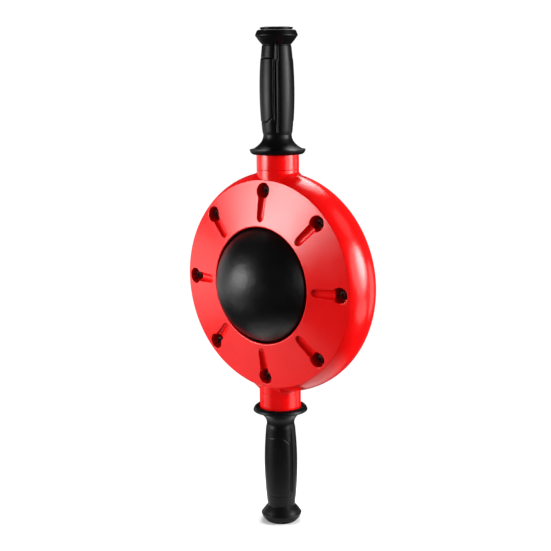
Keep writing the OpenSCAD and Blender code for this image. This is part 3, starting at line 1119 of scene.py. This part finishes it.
CAMERA_AZIMUTH = 40.09
CAMERA_ELEVATION = 10.01
CAMERA_ROLL = -0.65
CAMERA_DISTANCE = 1.2185
CAMERA_ACROSS = -0.00369
CAMERA_UP = 0.00635
CAMERA_LENS = 77.35
SENSOR_WIDTH = 36
LIGHT_DISTANCE = 1.3
FLOOR_CLEAR = 0.06
FLOOR_FADE = 0.20
# the floor's painted glow is off inside SHADOW_CORE and full beyond SHADOW_EDGE
SHADOW_CORE = 0.016
SHADOW_EDGE = 0.042
FLOOR_GLOW = 0.55
SKY_SEEN = 1.05
SKY_LIGHT = 0.05


def build_camera():
    """The camera of the photo. Azimuth 0 looks at the front and grows towards +X."""
    azimuth = math.radians(CAMERA_AZIMUTH)
    elevation = math.radians(CAMERA_ELEVATION)
    roll = math.radians(CAMERA_ROLL)
    back = Vector((
        math.sin(azimuth) * math.cos(elevation),
        -math.cos(azimuth) * math.cos(elevation),
        math.sin(elevation),
    ))
    level = Vector((math.cos(azimuth), math.sin(azimuth), 0))
    upright = back.cross(level)
    right = math.cos(roll) * level + math.sin(roll) * upright
    up = math.cos(roll) * upright - math.sin(roll) * level
    data = bpy.data.cameras.new("camera")
    data.lens = CAMERA_LENS
    data.sensor_width = SENSOR_WIDTH
    data.clip_end = 50
    camera = bpy.data.objects.new("camera", data)
    bpy.context.scene.collection.objects.link(camera)
    place = back * CAMERA_DISTANCE + right * CAMERA_ACROSS + up * CAMERA_UP
    turn = Matrix((right, up, back)).transposed()
    camera.matrix_world = Matrix.Translation(place) @ turn.to_4x4()
    bpy.context.scene.camera = camera


def area_light(name, azimuth, elevation, width, height, radiance, roll=0.0):
    """An oval soft box that faces the object. Its power follows from its size and brightness."""
    a, e = math.radians(azimuth), math.radians(elevation)
    away = Vector((math.sin(a) * math.cos(e), -math.cos(a) * math.cos(e), math.sin(e)))
    data = bpy.data.lights.new(name, "AREA")
    data.shape = "ELLIPSE"
    data.size = width
    data.size_y = height
    area = math.pi / 4 * width * height
    data.energy = radiance * math.pi * area
    light = bpy.data.objects.new(name, data)
    turn = away.to_track_quat("Z", "Y").to_matrix() @ Matrix.Rotation(math.radians(roll), 3, "Z")
    light.matrix_world = Matrix.Translation(away * LIGHT_DISTANCE) @ turn.to_4x4()
    bpy.context.scene.collection.objects.link(light)


def floor_material():
    """White with a painted glow, which fades out where the object rests to let a soft shadow show.
    Further out the floor fades into the white studio.
    """
    material, nodes, links, shader = new_material("studio_white")
    shader.inputs["Base Color"].default_value = (0.9, 0.9, 0.9, 1)
    shader.inputs["Roughness"].default_value = 0.9
    shader.inputs["Specular IOR Level"].default_value = 0.0
    shader.inputs["Emission Color"].default_value = (1, 1, 1, 1)
    coords = nodes.new("ShaderNodeTexCoord")
    length = nodes.new("ShaderNodeVectorMath")
    length.operation = "LENGTH"
    links.new(coords.outputs["Object"], length.inputs[0])
    distance = length.outputs["Value"]
    # painted light: the floor glows, except close to where the object rests
    glow = add_range(nodes, links, distance, SHADOW_CORE, SHADOW_EDGE, 0, FLOOR_GLOW)
    links.new(glow, shader.inputs["Emission Strength"])
    fade = add_range(nodes, links, distance, FLOOR_CLEAR, FLOOR_FADE, 0, 1)
    clear = nodes.new("ShaderNodeBsdfTransparent")
    mix = nodes.new("ShaderNodeMixShader")
    links.new(fade, mix.inputs["Fac"])
    links.new(shader.outputs["BSDF"], mix.inputs[1])
    links.new(clear.outputs["BSDF"], mix.inputs[2])
    links.new(mix.outputs["Shader"], nodes["Material Output"].inputs["Surface"])
    return material


def build_floor():
    """A round piece of studio floor under the lower grip."""
    bm = bmesh.new()
    bmesh.ops.create_circle(bm, cap_ends=True, segments=96, radius=FLOOR_FADE + 0.05)
    floor = to_object("studio_floor", bm)
    floor.location.z = cad_box[0][2]
    floor.data.materials.append(floor_material())


def build_lights():
    """Soft boxes round the object. Nested ovals make the main ones brighter in the middle."""
    area_light("left_soft_box", -36, 7, 0.98, 0.88, 4.5, 14)
    area_light("left_soft_middle", -35, 8, 0.72, 0.56, 8.0, 12)
    area_light("left_soft_centre", -32, 9, 0.40, 0.34, 9.5, 10)
    area_light("left_low_box", -60, -10, 0.60, 0.50, 1.8)
    area_light("left_floor_box", -41, -27, 1.00, 0.42, 1.2)
    area_light("far_left_fill", -88, -3, 1.30, 0.80, 0.8)
    area_light("right_soft_box", 106, 10, 1.30, 1.00, 4.2)
    area_light("right_soft_middle", 115, 12, 0.76, 0.80, 8.0)
    area_light("right_soft_centre", 117, 14, 0.50, 0.52, 13.5)
    area_light("right_low_box", 112, -22, 0.90, 0.44, 3.0)
    area_light("right_high_box", 118, 48, 0.70, 0.60, 1.2)
    area_light("right_rear_box", 152, -8, 0.70, 0.70, 1.5)
    area_light("back_top_box", -146, 56, 0.95, 1.05, 4.4)
    area_light("back_top_centre", -147, 54, 0.60, 0.66, 4.4)
    area_light("front_low_fill", 22, -17, 1.00, 0.40, 0.1)


def build_world():
    """A white surrounding that the camera sees in full and that lights the object only a little."""
    world = bpy.data.worlds.new("studio_world")
    bpy.context.scene.world = world
    world.use_nodes = True
    nodes, links = world.node_tree.nodes, world.node_tree.links
    background = nodes["Background"]
    background.inputs["Color"].default_value = (1, 1, 1, 1)
    path = nodes.new("ShaderNodeLightPath")
    strength = nodes.new("ShaderNodeMapRange")
    strength.inputs["To Min"].default_value = SKY_LIGHT
    strength.inputs["To Max"].default_value = SKY_SEEN
    links.new(path.outputs["Is Camera Ray"], strength.inputs["Value"])
    links.new(strength.outputs["Result"], background.inputs["Strength"])
    bpy.context.scene.view_settings.view_transform = "Standard"


build_camera()
build_floor()
build_lights()
build_world()
build_shells()
build_ball()
build_handles()
build_fasteners()
dress_cad_nodes()

bpy.context.view_layer.update()
